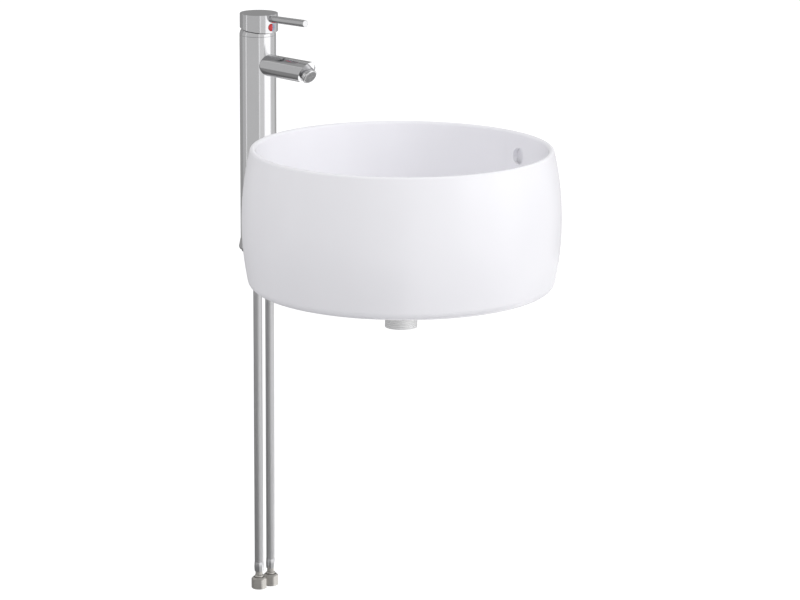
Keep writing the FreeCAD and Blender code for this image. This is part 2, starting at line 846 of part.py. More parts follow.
aerator_place = dict(y=drop_y, z=drop_z, axis=(1, 0, 0), turn=spout_turn)
aerator_bore = s.aerator_radius - s.aerator_wall
thread_bore = s.aerator_thread_radius - s.aerator_wall
thread_end = -(s.spout_nose_lip + s.aerator_thread_length)
piece(turned("aerator_shell", [
    (thread_bore, thread_end),
    (s.aerator_thread_radius, thread_end),
    (s.aerator_thread_radius, -s.spout_nose_lip),
    (s.aerator_radius, -s.spout_nose_lip),
    (s.aerator_radius, s.aerator_out - s.aerator_chamfer),
    (s.aerator_radius - s.aerator_chamfer, s.aerator_out),
    (aerator_bore, s.aerator_out),
    (aerator_bore, zero),
    (thread_bore, zero),
], **aerator_place), "aerator_housing")
piece(turned("aerator_core", [
    (zero, thread_end),
    (thread_bore - s.slip_fit, thread_end),
    (thread_bore - s.slip_fit, zero),
    (aerator_bore - s.slip_fit, zero),
    (aerator_bore - s.slip_fit, s.aerator_out - s.aerator_mesh_inset),
    (zero, s.aerator_out - s.aerator_mesh_inset),
], **aerator_place), "aerator_insert")
piece(turned("aerator_ring", [
    (s.aerator_thread_radius - s.aerator_seal_wall, thread_end - s.aerator_seal_thickness),
    (s.aerator_thread_radius, thread_end - s.aerator_seal_thickness),
    (s.aerator_thread_radius, thread_end),
    (s.aerator_thread_radius - s.aerator_seal_wall, thread_end),
], **aerator_place), "aerator_seal")


# Ceramic cartridge in the head of the column

cartridge_bore = s.cartridge_radius - s.cartridge_wall
base_plate_top = head_seat + s.cartridge_base
shoulder = head_seat + s.cartridge_shoulder
neck_top = shoulder + s.cartridge_neck_height
neck_bore = s.spindle_radius + s.shaft_fit
chamber_ceiling = shoulder - s.cartridge_wall

cartridge_solid = turned("cartridge_solid", [
    (zero, head_seat),
    (s.cartridge_radius, head_seat),
    (s.cartridge_radius, shoulder),
    (s.cartridge_neck_radius, shoulder),
    (s.cartridge_neck_radius, neck_top),
    (neck_bore, neck_top),
    (neck_bore, chamber_ceiling),
    (cartridge_bore, chamber_ceiling),
    (cartridge_bore, base_plate_top),
    (zero, base_plate_top),
], y=tap)
ways = [
    ("hot", -s.inlet_spread, tap - s.inlet_forward, s.inlet_radius),
    ("cold", s.inlet_spread, tap - s.inlet_forward, s.inlet_radius),
    ("mixed", zero, tap + s.outlet_back, s.outlet_radius),
]
seal_holes = [cylinder(name + "_seal_hole", s.seal_radius + s.slip_fit, s.cartridge_base, x=x, y=y,
                       z=head_seat) for name, x, y, radius in ways]
piece(cut("cartridge", cartridge_solid, *seal_holes), "cartridge_housing")

seals = doc.addObject("Part::Compound", "seals")
seals.Links = [ring(name + "_seal", s.seal_radius, s.seal_radius - s.seal_section, s.cartridge_base,
                    x=x, y=y, z=head_seat) for name, x, y, radius in ways]
piece(seals, "cartridge_seals")

disc_top = base_plate_top + s.disc_thickness
disc_holes = [cylinder(name + "_disc_hole", radius, s.disc_thickness, x=x, y=y, z=base_plate_top)
              for name, x, y, radius in ways]
piece(cut("fixed_disc", cylinder("fixed_disc_solid", s.fixed_disc_radius, s.disc_thickness, y=tap,
                                 z=base_plate_top), *disc_holes), "fixed_ceramic_disc")

moving_top = disc_top + s.moving_disc_thickness
piece(cut("moving_disc",
          cylinder("moving_disc_solid", s.moving_disc_radius, s.moving_disc_thickness, y=tap, z=disc_top),
          cylinder("mixing_pocket", s.mixing_pocket_radius, s.mixing_pocket_depth, y=tap, z=disc_top)),
      "moving_ceramic_disc")

carrier_top = moving_top + s.carrier_height
pivot = column_top - s.pivot_drop
foot_height = pivot - s.lever_stem_arm
foot_room = s.lever_stem_foot + s.running_fit
foot_pocket = box("foot_pocket", s.lever_stem_width + s.running_fit * 2, foot_room * 2,
                  s.carrier_height - s.carrier_floor, x=-(s.lever_stem_width / 2 + s.running_fit),
                  y=tap - foot_room, z=moving_top + s.carrier_floor)
piece(cut("carrier", cylinder("carrier_solid", s.carrier_radius, s.carrier_height, y=tap, z=moving_top),
          foot_pocket), "disc_carrier")

spindle_bottom = carrier_top + s.running_fit
spindle_top = neck_top + s.spindle_proud
spindle_solid = turned("spindle_solid", [
    (zero, spindle_bottom),
    (s.spindle_flange_radius, spindle_bottom),
    (s.spindle_flange_radius, chamber_ceiling - s.running_fit),
    (s.spindle_radius, chamber_ceiling - s.running_fit),
    (s.spindle_radius, spindle_top),
    (zero, spindle_top),
], y=tap)
spindle_slot = box("spindle_slot", s.lever_stem_width + s.running_fit * 2, s.spindle_slot_length,
                   spindle_top - spindle_bottom, x=-(s.lever_stem_width / 2 + s.running_fit),
                   y=tap - s.spindle_slot_length / 2, z=spindle_bottom)
pin_hole = cylinder("pin_hole", s.pin_radius + s.slip_fit, s.spindle_flange_radius * 2,
                    x=-s.spindle_flange_radius, y=tap, z=pivot, axis=(0, 1, 0), angle=90)
piece(cut("spindle", spindle_solid, spindle_slot, pin_hole), "cartridge_spindle")

piece(cylinder("pin", s.pin_radius, s.spindle_radius * 2, x=-s.spindle_radius, y=tap,
               z=pivot, axis=(0, 1, 0), angle=90), "lever_pivot_pin")

stem_half = s.lever_stem_width / 2
stem_shoulder = pivot - s.lever_stem_shoulder
stem_top_height = column_top + s.lever_stem_rise
stem_bar = box("stem_bar", s.lever_stem_width, s.lever_stem_depth, stem_top_height - stem_shoulder,
               x=-stem_half, y=tap - s.lever_stem_depth / 2, z=stem_shoulder)
stem_neck = box("stem_neck", s.lever_stem_width, s.lever_stem_neck, stem_shoulder - foot_height,
                x=-stem_half, y=tap - s.lever_stem_neck / 2, z=foot_height)
stem_foot = cylinder("stem_foot", s.lever_stem_foot, s.lever_stem_width, x=-stem_half, y=tap,
                     z=foot_height, axis=(0, 1, 0), angle=90)
stem_pin_hole = cylinder("stem_pin_hole", s.pin_radius + s.slip_fit, s.lever_stem_width,
                         x=-stem_half, y=tap, z=pivot, axis=(0, 1, 0), angle=90)
piece(cut("stem", fuse("stem_solid", stem_bar, stem_neck, stem_foot), stem_pin_hole), "lever_stem")

nut_top = column_top + s.ring_nut_rise
piece(turned("ring_nut", [
    (s.cartridge_radius + s.running_fit, head_step),
    (s.head_thread_radius - s.slip_fit, head_step),
    (s.head_thread_radius - s.slip_fit, column_top),
    (s.ring_nut_radius, column_top),
    (s.ring_nut_radius, nut_top),
    (s.cartridge_neck_radius + s.running_fit, nut_top),
    (s.cartridge_neck_radius + s.running_fit, shoulder),
    (s.cartridge_radius + s.running_fit, shoulder),
], y=tap), "cartridge_ring_nut")

collar_top = column_top + s.collar_height
collar_bend = column_top + s.collar_side
piece(turned("collar", [
    (s.column_radius - s.collar_foot_wall, column_top),
    (s.column_radius - s.collar_bevel, column_top),
    (s.column_radius, column_top + s.collar_bevel, s.collar_side_curve),
    (s.column_radius - s.collar_side_inset, collar_bend, s.collar_curve),
    (s.collar_hole, collar_top),
    (s.collar_hole, collar_top - s.collar_wall),
    (s.column_radius - s.collar_foot_wall - s.collar_side_inset, collar_bend - s.collar_wall / 2),
], y=tap), "dome_collar")


# Handle: a hollow cap on the cartridge stem, with its lever, grub screw and index button

cap_y = tap - s.cap_forward
cap_top = column_top + s.cap_rise
cap_ceiling = cap_top - s.cap_roof
cap_underside = column_top + s.cap_gap
cap_low = cap_underside - tangent(s.cap_slant) * s.cap_radius * 2
hub_bottom_height = column_top + s.cap_hub_gap
cap_cup = turned("cap_cup", [
    (s.cap_radius - s.cap_wall, cap_low),
    (s.cap_radius, cap_low),
    (s.cap_radius, cap_top - s.cap_chamfer),
    (s.cap_radius - s.cap_chamfer, cap_top),
    (zero, cap_top),
    (zero, cap_ceiling),
    (s.cap_radius - s.cap_wall, cap_ceiling),
], y=cap_y)
slant_tool = cylinder("slant_tool", s.cap_radius * 2, s.cap_radius * 2, y=tap, z=cap_underside,
                      axis=(1, 0, 0), turn=s.cap_slant + 180)
cap_hub = cylinder("cap_hub", s.cap_hub_radius, cap_ceiling + s.cap_roof / 2 - hub_bottom_height,
                   y=tap, z=hub_bottom_height)
cap_solid = fuse("cap_solid", cut("cap_slanted", cap_cup, slant_tool), cap_hub)

stem_socket = box("stem_socket", s.lever_stem_width + s.slip_fit * 2,
                  s.lever_stem_depth + s.slip_fit * 2, stem_top_height - hub_bottom_height,
                  x=-(stem_half + s.slip_fit), y=tap - s.lever_stem_depth / 2 - s.slip_fit,
                  z=hub_bottom_height)
lever_turn = -s.lever_rise + 90
lever_root = column_top + s.lever_root_rise
index_height = column_top + s.index_rise


def along_lever(name, radius, start, end):
    return cylinder(name, radius, end - start, y=tap - cosine(s.lever_rise) * start,
                    z=lever_root + sine(s.lever_rise) * start,
                    axis=(1, 0, 0), turn=lever_turn)


def along_front(name, radius, start, end):
    return cylinder(name, radius, end - start, y=tap - start, z=index_height,
                    axis=(1, 0, 0), angle=90)


cap_front = s.cap_forward + s.cap_radius
lever_seat = s.cap_hub_radius + s.slip_fit
lever_tip = s.lever_reach / cosine(s.lever_rise)
index_seat = cap_front - s.index_depth
thread_start = lever_seat - s.lever_thread_length
piece(cut("cap", cap_solid, stem_socket,
          along_lever("lever_hole", s.lever_radius + s.slip_fit, lever_seat, cap_front + s.overrun),
          along_lever("lever_thread_hole", s.lever_thread_radius + s.slip_fit,
                      thread_start - s.running_fit, lever_seat),
          along_front("screw_hole", s.set_screw_radius + s.slip_fit, zero, lever_seat),
          along_front("index_recess", s.index_radius + s.slip_fit, index_seat, cap_front + s.overrun),
          along_front("index_hole", s.index_shank_radius + s.slip_fit, lever_seat, cap_front)),
      "handle_cap")

piece(turned("lever", [
    (zero, thread_start),
    (s.lever_thread_radius, thread_start),
    (s.lever_thread_radius, lever_seat),
    (s.lever_radius, lever_seat),
    (s.lever_radius, lever_tip - s.lever_end_round, s.lever_end_round),
    (s.lever_radius - s.lever_end_round, lever_tip),
    (zero, lever_tip),
], y=tap, z=lever_root, axis=(1, 0, 0), turn=lever_turn), "handle_lever")

index_face = cap_front + s.index_proud
index_edge = cap_front + s.index_proud / 3
dome_rise = index_face - index_edge
index_dome = (s.index_radius * s.index_radius + dome_rise * dome_rise) / (dome_rise * 2)
front_place = dict(y=tap, z=index_height, axis=(1, 0, 0), angle=90)
piece(turned("index", [
    (zero, index_seat - s.index_shank_length),
    (s.index_shank_radius, index_seat - s.index_shank_length),
    (s.index_shank_radius, index_seat),
    (s.index_radius, index_seat),
    (s.index_radius, index_edge, index_dome),
    (zero, index_face),
], **front_place), "index_button")

screw_start = s.lever_stem_depth / 2 + s.slip_fit
screw_end = screw_start + s.set_screw_length
piece(turned("set_screw", [
    (zero, screw_start),
    (s.set_screw_radius, screw_start),
    (s.set_screw_radius, screw_end),
    (s.set_screw_key, screw_end),
    (s.set_screw_key, screw_start + s.set_screw_length / 2),
    (zero, screw_start + s.set_screw_length / 2),
], **front_place), "handle_set_screw")


# Two braided hoses that hang from the base block, each with its fittings

hose_end = -s.hose_bottom
ferrule_edge = s.hose_radius + s.ferrule_wall
connector_top = s.base_block_bottom + s.connector_thread_length
collar_under = s.base_block_bottom - s.connector_collar_height
barb_radius = s.hose_bore - s.slip_fit
bead_top = hose_end - s.lower_neck_length
bead_bottom = bead_top - s.lower_bead_height
nut_roof = hose_end - s.hose_nut_gap
nut_shoulder = nut_roof - s.hose_nut_neck_height
nut_foot = nut_roof - s.hose_nut_height
tail_foot = nut_shoulder - s.lower_flange_height
nut_thread_top = tail_foot - s.hose_washer_thickness

for side, sign in (("hot", -1), ("cold", 1)):
    here = dict(x=s.port_spread * sign, y=tap - s.port_forward)
    length = s.hose_top - hose_end

    connector = turned(side + "_connector", [
        (s.connector_bore, s.hose_top - s.barb_length),
        (barb_radius, s.hose_top - s.barb_length),
        (barb_radius, s.hose_top),
        (s.connector_stop_radius, s.hose_top),
        (s.connector_stop_radius, s.hose_top + s.connector_stop_height),
        (s.connector_neck_radius, s.hose_top + s.connector_stop_height),
        (s.connector_neck_radius, collar_under),
        (s.connector_collar_radius, collar_under),
        (s.connector_collar_radius, s.base_block_bottom),
        (s.connector_thread_radius, s.base_block_bottom),
        (s.connector_thread_radius, connector_top),
        (s.connector_bore, connector_top),
    ], **here)
    threaded(connector, s.connector_thread_radius, s.connector_thread_depth, s.connector_pitch,
             s.base_block_bottom, connector_top)
    piece(connector, side + "_hose_connector")

    piece(ring(side + "_braid", s.hose_radius, s.hose_liner_radius, length, z=hose_end, **here),
          side + "_hose_braid")
    piece(ring(side + "_liner", s.hose_liner_radius, s.hose_bore, length, z=hose_end, **here),
          side + "_hose_liner")
    for end, bottom in (("upper", s.hose_top - s.ferrule_length), ("lower", hose_end)):
        piece(turned(f"{side}_{end}_sleeve", [
            (s.hose_radius, bottom),
            (ferrule_edge, bottom, s.ferrule_bulge),
            (ferrule_edge, bottom + s.ferrule_length),
            (s.hose_radius, bottom + s.ferrule_length),
        ], **here), f"{side}_{end}_ferrule")

    piece(turned(side + "_tail", [
        (s.connector_bore, tail_foot),
        (s.lower_flange_radius, tail_foot),
        (s.lower_flange_radius, nut_shoulder),
        (s.lower_shank_radius, nut_shoulder),
        (s.lower_shank_radius, bead_bottom),
        (s.lower_bead_radius, bead_bottom, s.lower_bead_round),
        (s.lower_neck_radius, bead_top),
        (s.lower_neck_radius, hose_end),
        (barb_radius, hose_end),
        (barb_radius, hose_end + s.barb_length),
        (s.connector_bore, hose_end + s.barb_length),
    ], **here), side + "_hose_tail")

    nut_block = hexagon(side + "_nut_hexagon", s.hose_nut_flat, nut_roof - nut_foot, z=nut_foot,
                        axis=(0, 0, 1), turn=s.hose_nut_turn, **here)
    nut_lathe = turned(side + "_nut_lathe", [
        (zero, nut_foot),
        (s.hose_nut_corner - s.hose_nut_chamfer, nut_foot),
        (s.hose_nut_corner, nut_foot + s.hose_nut_chamfer / 2),
        (s.hose_nut_corner, nut_roof - s.hose_nut_chamfer * 2),
        (s.hose_nut_corner - s.hose_nut_chamfer * 2, nut_roof),
        (zero, nut_roof),
    ], **here)
    nut_neck = cylinder(side + "_nut_neck", s.hose_nut_neck, nut_roof - nut_foot, z=nut_foot, **here)
    nut_thread = cylinder(side + "_nut_thread", s.hose_nut_bore, nut_thread_top - nut_foot, z=nut_foot,
                          **here)
    nut_relief = cylinder(side + "_nut_relief", s.hose_nut_relief, nut_shoulder - nut_thread_top,
                          z=nut_thread_top, **here)
    piece(cut(side + "_nut", common(side + "_nut_solid", nut_block, nut_lathe), nut_neck, nut_thread,
              nut_relief), side + "_hose_nut")
    piece(ring(side + "_washer", s.lower_flange_radius - s.slip_fit, s.hose_washer_bore,
               s.hose_washer_thickness, z=nut_thread_top, **here),
          side + "_nut_washer")


# Every object is checked before any file is written

doc.recompute()
for thing in doc.Objects:
    if "Invalid" in thing.State or "Error" in thing.State:
        raise RuntimeError(f"{thing.Label} failed: {thing.State}")
for thing in nodes:
    shape = thing.Shape
    if shape.isNull() or not shape.isValid() or not shape.Solids:
        raise RuntimeError(f"{thing.Label} has no valid solid")
for thing in nodes:
    thing.Shape.exportStep(f"parts/{thing.Label}.step")
print(len(nodes), "pieces written")
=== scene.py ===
# Round countertop washbasin with a tall single-lever mixer behind it
import json
import math
import bmesh
import bpy
from mathutils import Matrix, Vector


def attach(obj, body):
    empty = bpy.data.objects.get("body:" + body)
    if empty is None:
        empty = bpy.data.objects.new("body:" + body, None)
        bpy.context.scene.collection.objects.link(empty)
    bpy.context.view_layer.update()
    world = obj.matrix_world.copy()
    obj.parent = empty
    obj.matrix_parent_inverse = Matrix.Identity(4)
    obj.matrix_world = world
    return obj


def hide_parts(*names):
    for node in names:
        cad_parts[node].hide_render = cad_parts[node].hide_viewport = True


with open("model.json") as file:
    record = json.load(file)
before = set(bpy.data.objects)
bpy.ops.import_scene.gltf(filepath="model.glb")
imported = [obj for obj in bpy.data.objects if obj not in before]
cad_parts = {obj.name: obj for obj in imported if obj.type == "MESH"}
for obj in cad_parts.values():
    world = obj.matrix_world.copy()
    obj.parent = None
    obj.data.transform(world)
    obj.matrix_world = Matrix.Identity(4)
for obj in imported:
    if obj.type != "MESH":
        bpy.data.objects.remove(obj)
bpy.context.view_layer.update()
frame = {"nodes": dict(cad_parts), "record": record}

nodes = frame["nodes"]
tapAxis = Vector((0.0, 0.279, 0.0))   # the mixer's axis, behind the basin

# Camera, at the photograph's distance, height and angle
camera = {"place": (-2.8445, -2.9979, 0.9737), "turn": -43.474, "tilt": 13.511, "roll": 0.3, "lens": 148.5,
          "sensor": 36.0, "farthest": 50.0}


def makeCamera():
    data = bpy.data.cameras.new("camera")
    data.lens = camera["lens"]
    data.sensor_width = camera["sensor"]
    data.clip_end = camera["farthest"]
    rig = bpy.data.objects.new("camera", data)
    turn, tilt, roll = (math.radians(camera[name]) for name in ("turn", "tilt", "roll"))
    level = Matrix.Rotation(turn, 3, "Z") @ Matrix.Rotation(math.pi / 2 - tilt, 3, "X")
    rig.location = camera["place"]
    rig.rotation_euler = (level @ Matrix.Rotation(roll, 3, "Z")).to_euler()
    bpy.context.scene.collection.objects.link(rig)
    bpy.context.scene.camera = rig


makeCamera()
print("camera ready")

# Supply hoses, straight down from the base block to their nuts
hoses = {"spread": 0.0106, "forward": 0.0092, "top": 0.002, "bottom": -0.4479, "diameter": 0.0118, "lead": 0.07,
         "smoothness": 10, "order": 3}


def hosePlace(sign):
    return hoses["spread"] * sign, tapAxis.y - hoses["forward"]


def makeHose(side, sign):
    x, y = hosePlace(sign)
    top, bottom, lead = hoses["top"], hoses["bottom"], hoses["lead"]
    route = [(x, y, top), (x, y, top - lead), (x, y, bottom + lead), (x, y, bottom)]
    curve = bpy.data.curves.new(side + "Hose", "CURVE")
    curve.dimensions = "3D"
    curve.bevel_depth = 1.0   # the points' radius carries the real one, so that the box stays tight
    curve.bevel_resolution = hoses["smoothness"]
    curve.use_fill_caps = True
    line = curve.splines.new("NURBS")
    line.points.add(len(route) - 1)
    for point, place in zip(line.points, route):
        point.co = (*place, 1.0)
        point.radius = hoses["diameter"] / 2
    line.order_u = hoses["order"]
    line.use_endpoint_u = True
    piece = bpy.data.objects.new(side + "Hose", curve)
    bpy.context.scene.collection.objects.link(piece)
    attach(piece, "fixed")
    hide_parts(side + "_hose_braid")
    return piece


hosePieces = {side: makeHose(side, sign) for side, sign in (("hot", -1), ("cold", 1))}
print("hoses ready")


# Node helpers for the materials
def addNode(tree, kind, **settings):
    node = tree.nodes.new("ShaderNode" + kind)
    for name, value in settings.items():
        setattr(node, name, value)
    return node


def fill(node, **values):
    for name, value in values.items():
        node.inputs[name].default_value = value
    return node


def makeGroup(name, inputs, outputs):
    group = bpy.data.node_groups.new(name, "ShaderNodeTree")
    for label, kind, value in inputs:
        socket = group.interface.new_socket(label, in_out="INPUT", socket_type="NodeSocket" + kind)
        socket.default_value = value
    for label, kind in outputs:
        group.interface.new_socket(label, in_out="OUTPUT", socket_type="NodeSocket" + kind)
    return group, group.nodes.new("NodeGroupInput"), group.nodes.new("NodeGroupOutput")


def makeUnevenSurface():
    # Noise in the object's own space, stretched for lathe marks and brushing, as a mask and as relief
    group, source, result = makeGroup("unevenSurface", [
        ("Scale", "Float", 40.0), ("Stretch", "Vector", (1.0, 1.0, 1.0)), ("Detail", "Float", 3.0),
        ("Height", "Float", 0.00002)], [("Mask", "Float"), ("Normal", "Vector")])
    link = group.links.new
    place = addNode(group, "TexCoord")
    stretch = addNode(group, "VectorMath", operation="MULTIPLY")
    noise = addNode(group, "TexNoise")
    bump = addNode(group, "Bump")
    bump.inputs["Strength"].default_value = 1.0
    link(place.outputs["Object"], stretch.inputs[0])
    link(source.outputs["Stretch"], stretch.inputs[1])
    link(stretch.outputs[0], noise.inputs["Vector"])
    link(source.outputs["Scale"], noise.inputs["Scale"])
    link(source.outputs["Detail"], noise.inputs["Detail"])
    link(noise.outputs["Fac"], bump.inputs["Height"])
    link(source.outputs["Height"], bump.inputs["Distance"])
    link(noise.outputs["Fac"], result.inputs["Mask"])
    link(bump.outputs["Normal"], result.inputs["Normal"])
    return group


unevenSurface = makeUnevenSurface()
maskRange = (0.3, 0.7)   # the part of the noise that carries the change


def newMaterial(name, colour, roughness, metallic=0.0, coat=0.0):
    material = bpy.data.materials.new(name)
    material.use_nodes = True
    shader = material.node_tree.nodes["Principled BSDF"]
    shader.inputs["Base Color"].default_value = (*colour, 1.0)
    shader.inputs["Roughness"].default_value = roughness
    shader.inputs["Metallic"].default_value = metallic
    shader.inputs["Coat Weight"].default_value = coat
    return material, material.node_tree, shader


def mixColours(tree, factor, first, second):
    mix = addNode(tree, "Mix", data_type="RGBA")
    tree.links.new(factor, mix.inputs["Factor"])
    for socket, colour in ((mix.inputs["A"], first), (mix.inputs["B"], second)):
        if isinstance(colour, tuple):
            socket.default_value = (*colour, 1.0)
        else:
            tree.links.new(colour, socket)
    return mix.outputs["Result"]


def remap(tree, value, low, high, toLow, toHigh):
    node = addNode(tree, "MapRange")
    fill(node, **{"From Min": low, "From Max": high, "To Min": toLow, "To Max": toHigh})
    tree.links.new(value, node.inputs["Value"])
    return node.outputs["Result"]


def unevenMaterial(name, look):
    # One material from a look: two close colours, a roughness range and a fine relief
    material, tree, shader = newMaterial(name, look["colour"], look["roughness"][0], look.get("metallic", 0.0))
    surface = addNode(tree, "Group", node_tree=unevenSurface)
    fill(surface, Scale=look["scale"], Height=look["height"], Stretch=look.get("stretch", (1.0, 1.0, 1.0)))
    mask = surface.outputs["Mask"]
    darker = tuple(channel * look["shade"] for channel in look["colour"])
    tree.links.new(mixColours(tree, remap(tree, mask, *maskRange, 0.0, 1.0), darker, look["colour"]),
                   shader.inputs["Base Color"])
    tree.links.new(remap(tree, mask, *maskRange, *look["roughness"]), shader.inputs["Roughness"])
    tree.links.new(surface.outputs["Normal"], shader.inputs["Normal"])
    return material


looks = {
    "polishedChrome": {"colour": (0.66, 0.66, 0.67), "roughness": (0.09, 0.12), "metallic": 1.0, "scale": 30.0,
                       "height": 0.000004, "shade": 0.98},
    "handleChrome": {"colour": (0.62, 0.62, 0.63), "roughness": (0.09, 0.12), "metallic": 1.0, "scale": 30.0,
                     "height": 0.000004, "shade": 0.98},
    "wasteChrome": {"colour": (0.96, 0.96, 0.96), "roughness": (0.32, 0.40), "metallic": 0.5, "scale": 80.0,
                    "height": 0.000006, "stretch": (0.4, 0.4, 4.0), "shade": 0.95},
    "satinNickel": {"colour": (0.57, 0.55, 0.52), "roughness": (0.30, 0.40), "metallic": 0.8, "scale": 160.0,
                    "height": 0.00001, "stretch": (0.4, 0.4, 3.0), "shade": 0.9},
    "turnedBrass": {"colour": (0.72, 0.54, 0.28), "roughness": (0.22, 0.36), "metallic": 1.0, "scale": 120.0,
                    "height": 0.00001, "stretch": (0.3, 0.3, 8.0), "shade": 0.88},
    "zincSteel": {"colour": (0.56, 0.57, 0.60), "roughness": (0.28, 0.42), "metallic": 1.0, "scale": 260.0,
                  "height": 0.00001, "shade": 0.85},
    "pressedSteel": {"colour": (0.70, 0.70, 0.71), "roughness": (0.14, 0.22), "metallic": 1.0, "scale": 120.0,
                     "height": 0.000006, "stretch": (1.0, 1.0, 0.3), "shade": 0.92},
    "drawnCopper": {"colour": (0.80, 0.42, 0.28), "roughness": (0.25, 0.4), "metallic": 1.0, "scale": 90.0,
                    "height": 0.000006, "stretch": (3.0, 3.0, 0.2), "shade": 0.85},
    "blackRubber": {"colour": (0.022, 0.022, 0.023), "roughness": (0.5, 0.68), "scale": 300.0, "height": 0.00003,
                    "shade": 0.7},
    "hoseLining": {"colour": (0.09, 0.09, 0.095), "roughness": (0.45, 0.6), "scale": 200.0, "height": 0.00002,
                   "shade": 0.85},
    "whitePlastic": {"colour": (0.82, 0.82, 0.80), "roughness": (0.35, 0.45), "scale": 180.0, "height": 0.00001,
                     "shade": 0.96},
    "greyPlastic": {"colour": (0.30, 0.31, 0.33), "roughness": (0.38, 0.5), "scale": 180.0, "height": 0.00001,
                    "shade": 0.9},
    "meshPlastic": {"colour": (0.44, 0.44, 0.44), "roughness": (0.38, 0.5), "scale": 180.0, "height": 0.00001,
                    "shade": 0.9},
    "discCeramic": {"colour": (0.86, 0.84, 0.78), "roughness": (0.16, 0.24), "scale": 200.0, "height": 0.000002,
                    "shade": 0.97},
}
materials = {name: unevenMaterial(name, look) for name, look in looks.items()}

# Glazed ceramic: a slightly wavy glossy glaze, with a bare biscuit ring where the foot stands
glaze = {"colour": (0.913, 0.908, 0.943), "shade": (0.888, 0.883, 0.918), "biscuit": (0.80, 0.77, 0.71),
         "bareHeight": (0.0006, 0.0012), "bareRoughness": 0.75, "waveScale": 9.0, "waveHeight": 0.0003,
         "waveDetail": 1.0, "gloss": 0.2, "coat": 0.05, "coatGloss": 0.12,
         "glance": (0.4, 0.85), "shine": (0.38, 0.02)}   # the specular level falls from face on to a glancing angle


def makeGlaze():
    material, tree, shader = newMaterial("whiteGlaze", glaze["colour"], glaze["gloss"], coat=glaze["coat"])
    shader.inputs["Coat Roughness"].default_value = glaze["coatGloss"]
    surface = addNode(tree, "Group", node_tree=unevenSurface)
    fill(surface, Scale=glaze["waveScale"], Height=glaze["waveHeight"], Detail=glaze["waveDetail"])
    place = addNode(tree, "TexCoord")
    split = addNode(tree, "SeparateXYZ")
    tree.links.new(place.outputs["Object"], split.inputs[0])
    glazed = remap(tree, split.outputs["Z"], *glaze["bareHeight"], 0.0, 1.0)
    cloud = remap(tree, surface.outputs["Mask"], *maskRange, 0.0, 1.0)
    white = mixColours(tree, cloud, glaze["shade"], glaze["colour"])
    tree.links.new(mixColours(tree, glazed, glaze["biscuit"], white), shader.inputs["Base Color"])
    tree.links.new(remap(tree, glazed, 0.0, 1.0, glaze["bareRoughness"], glaze["gloss"]), shader.inputs["Roughness"])
    tree.links.new(remap(tree, glazed, 0.0, 1.0, 0.0, glaze["coat"]), shader.inputs["Coat Weight"])
    glance = addNode(tree, "LayerWeight")
    tree.links.new(remap(tree, glance.outputs["Facing"], *glaze["glance"], *glaze["shine"]),
                   shader.inputs["Specular IOR Level"])
    tree.links.new(surface.outputs["Normal"], shader.inputs["Normal"])
    return material


materials["whiteGlaze"] = makeGlaze()

# Braided wire: bundles that cross at an angle, over and under by turns, with painted shade in the valleys between
# them
braid = {"bundles": 12, "pitch": 0.0031, "wire": (0.66, 0.66, 0.67), "paintedValleyShade": (0.30, 0.30, 0.31), "relief": 0.0001,
         "reliefStrength": 0.8, "crown": (0.15, 0.75), "roughness": (0.45, 0.24)}


def mathNode(tree, operation, first, second=None):
    node = addNode(tree, "Math", operation=operation)
    for socket, value in zip(node.inputs, (first, second)):
        if isinstance(value, (int, float)):
            socket.default_value = value
        elif value is not None:
            tree.links.new(value, socket)
    return node.outputs[0]


def makeBraid():
    # Weave on a tube whose axis is the object's Z line through Centre
    group, source, result = makeGroup("braidedWire", [
        ("Centre", "Vector", (0.0, 0.0, 0.0)), ("Bundles", "Float", 12.0), ("Pitch", "Float", 0.003)],
        [("Crown", "Float")])
    link = group.links.new
    place = addNode(group, "TexCoord")
    offset = addNode(group, "VectorMath", operation="SUBTRACT")
    split = addNode(group, "SeparateXYZ")
    link(place.outputs["Object"], offset.inputs[0])
    link(source.outputs["Centre"], offset.inputs[1])
    link(offset.outputs[0], split.inputs[0])
    angle = mathNode(group, "ARCTAN2", split.outputs["Y"], split.outputs["X"])
    turned = mathNode(group, "MULTIPLY", mathNode(group, "DIVIDE", angle, 2 * math.pi), source.outputs["Bundles"])
    along = mathNode(group, "DIVIDE", split.outputs["Z"], source.outputs["Pitch"])
    crowns, counts = [], []
    for operation in ("ADD", "SUBTRACT"):
        lane = mathNode(group, operation, turned, along)
        wave = mathNode(group, "SINE", mathNode(group, "MULTIPLY", lane, math.pi))
        crowns.append(mathNode(group, "ABSOLUTE", wave))
        counts.append(mathNode(group, "FLOOR", lane))
    parity = mathNode(group, "ABSOLUTE", mathNode(group, "MODULO", mathNode(group, "ADD", *counts), 2.0))
    over = mathNode(group, "MULTIPLY", crowns[0], parity)
    under = mathNode(group, "MULTIPLY", crowns[1], mathNode(group, "SUBTRACT", 1.0, parity))
    link(mathNode(group, "ADD", over, under), result.inputs["Crown"])
    return group


braidGroup = makeBraid()


def braidMaterial(side, sign):
    x, y = hosePlace(sign)
    material, tree, shader = newMaterial(side + "Braid", braid["wire"], braid["roughness"][0], metallic=1.0)
    weave = addNode(tree, "Group", node_tree=braidGroup)
    fill(weave, Centre=(x, y, 0.0), Bundles=float(braid["bundles"]), Pitch=braid["pitch"])
    crown = weave.outputs["Crown"]
    # Painted shade: the valleys between bundles get the darker colour, the crowns the wire's own
    tree.links.new(mixColours(tree, remap(tree, crown, *braid["crown"], 0.0, 1.0), braid["paintedValleyShade"], braid["wire"]),
                   shader.inputs["Base Color"])
    tree.links.new(remap(tree, crown, 0.0, 1.0, *braid["roughness"]), shader.inputs["Roughness"])
    bump = addNode(tree, "Bump")
    fill(bump, Strength=braid["reliefStrength"], Distance=braid["relief"])
    tree.links.new(crown, bump.inputs["Height"])
    tree.links.new(bump.outputs["Normal"], shader.inputs["Normal"])
    return material


for side, sign in (("hot", -1), ("cold", 1)):
    hosePieces[side].data.materials.append(braidMaterial(side, sign))

